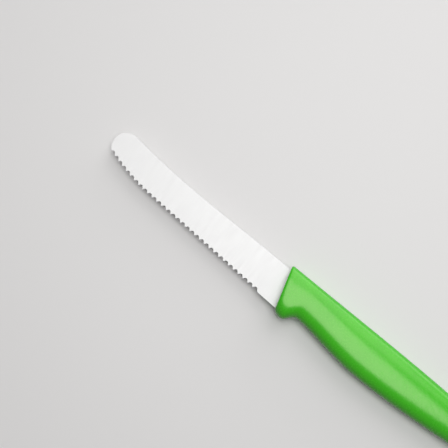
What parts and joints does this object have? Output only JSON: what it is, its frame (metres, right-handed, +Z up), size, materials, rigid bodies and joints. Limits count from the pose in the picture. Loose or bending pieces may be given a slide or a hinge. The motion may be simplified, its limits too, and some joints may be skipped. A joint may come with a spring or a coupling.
{
  "type": "tomato knife",
  "caption": "Small kitchen knife with a round-tipped steel blade, a fine wavy edge and a moulded plastic handle with a finger guard.",
  "frame": {"origin": "middle of the knife's box, on the surface that it lies on", "axes": "+X along the knife from tip to butt, +Y from the edge to the spine, +Z up, across the thickness"},
  "size_m": [0.225, 0.0242, 0.013],
  "materials": {
    "blade": "satin",
    "handle": "satin moulded, with a fine texture"
  },
  "bodies": {
    "root": {"blade": "blade", "handle": "handle"}
  },
  "joints": []
}
